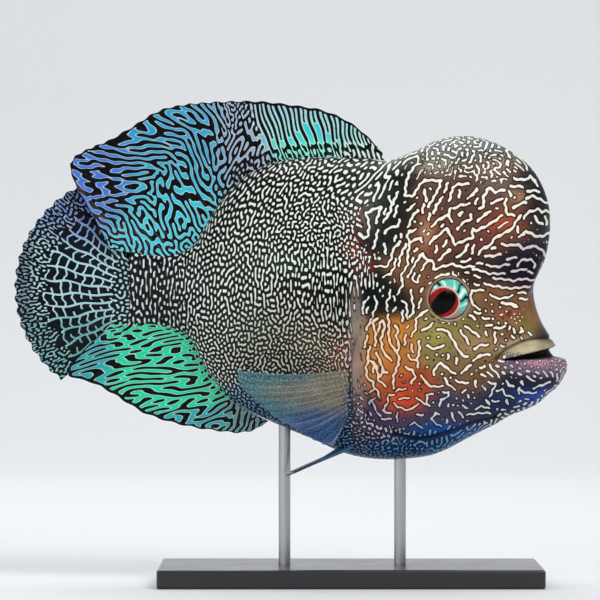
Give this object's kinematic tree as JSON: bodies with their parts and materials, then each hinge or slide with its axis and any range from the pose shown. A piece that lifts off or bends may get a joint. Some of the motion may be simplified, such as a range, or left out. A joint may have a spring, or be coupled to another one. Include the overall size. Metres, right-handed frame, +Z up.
{
  "type": "flowerhorn cichlid display model",
  "caption": "Life-size still model of a flowerhorn cichlid, deep body with a large nuchal hump, rayed fins swept back, held by two rods on a flat base",
  "frame": {"origin": "on the underside of the stand's base, at its middle, below the middle of the fish", "axes": "+X from tail to head, +Y to the fish's left, +Z up; the underside of the base is the plane z = 0"},
  "size_m": [0.2322, 0.085, 0.2026],
  "materials": {
    "head_skin": "wet fish skin, satin, cream worm lines on maroon and olive brown",
    "jaw_skin": "wet fish skin, pink lips turning navy below",
    "gill_skin": "wet fish skin, gold and orange with pale wavy lines",
    "flank_skin": "finely scaled wet skin, cream dots on black",
    "upper_fins": "rayed membrane, turquoise bars on black",
    "anal_fin": "rayed membrane, green turquoise with black dashes",
    "side_fins": "thin rayed membrane, teal grey and tan",
    "eyes": "glossy, red iris with a black pupil and a turquoise crescent",
    "stand_plate": "satin black acrylic",
    "stand_rods": "brushed stainless steel"
  },
  "bodies": {
    "root": {"head": "head_skin", "nuchal_hump": "head_skin", "lower_jaw": "jaw_skin", "gill_cover_left": "gill_skin", "gill_cover_right": "gill_skin", "torso": "flank_skin", "tail_stalk": "flank_skin", "dorsal_fin": "upper_fins", "caudal_fin": "upper_fins", "anal_fin": "anal_fin", "pectoral_fin_left": "side_fins", "pectoral_fin_right": "side_fins", "pelvic_fin_left": "side_fins", "pelvic_fin_right": "side_fins", "eye_left": "eyes", "eye_right": "eyes", "stand_base": "stand_plate", "stand_rod_front": "stand_rods", "stand_rod_rear": "stand_rods"}
  },
  "joints": []
}
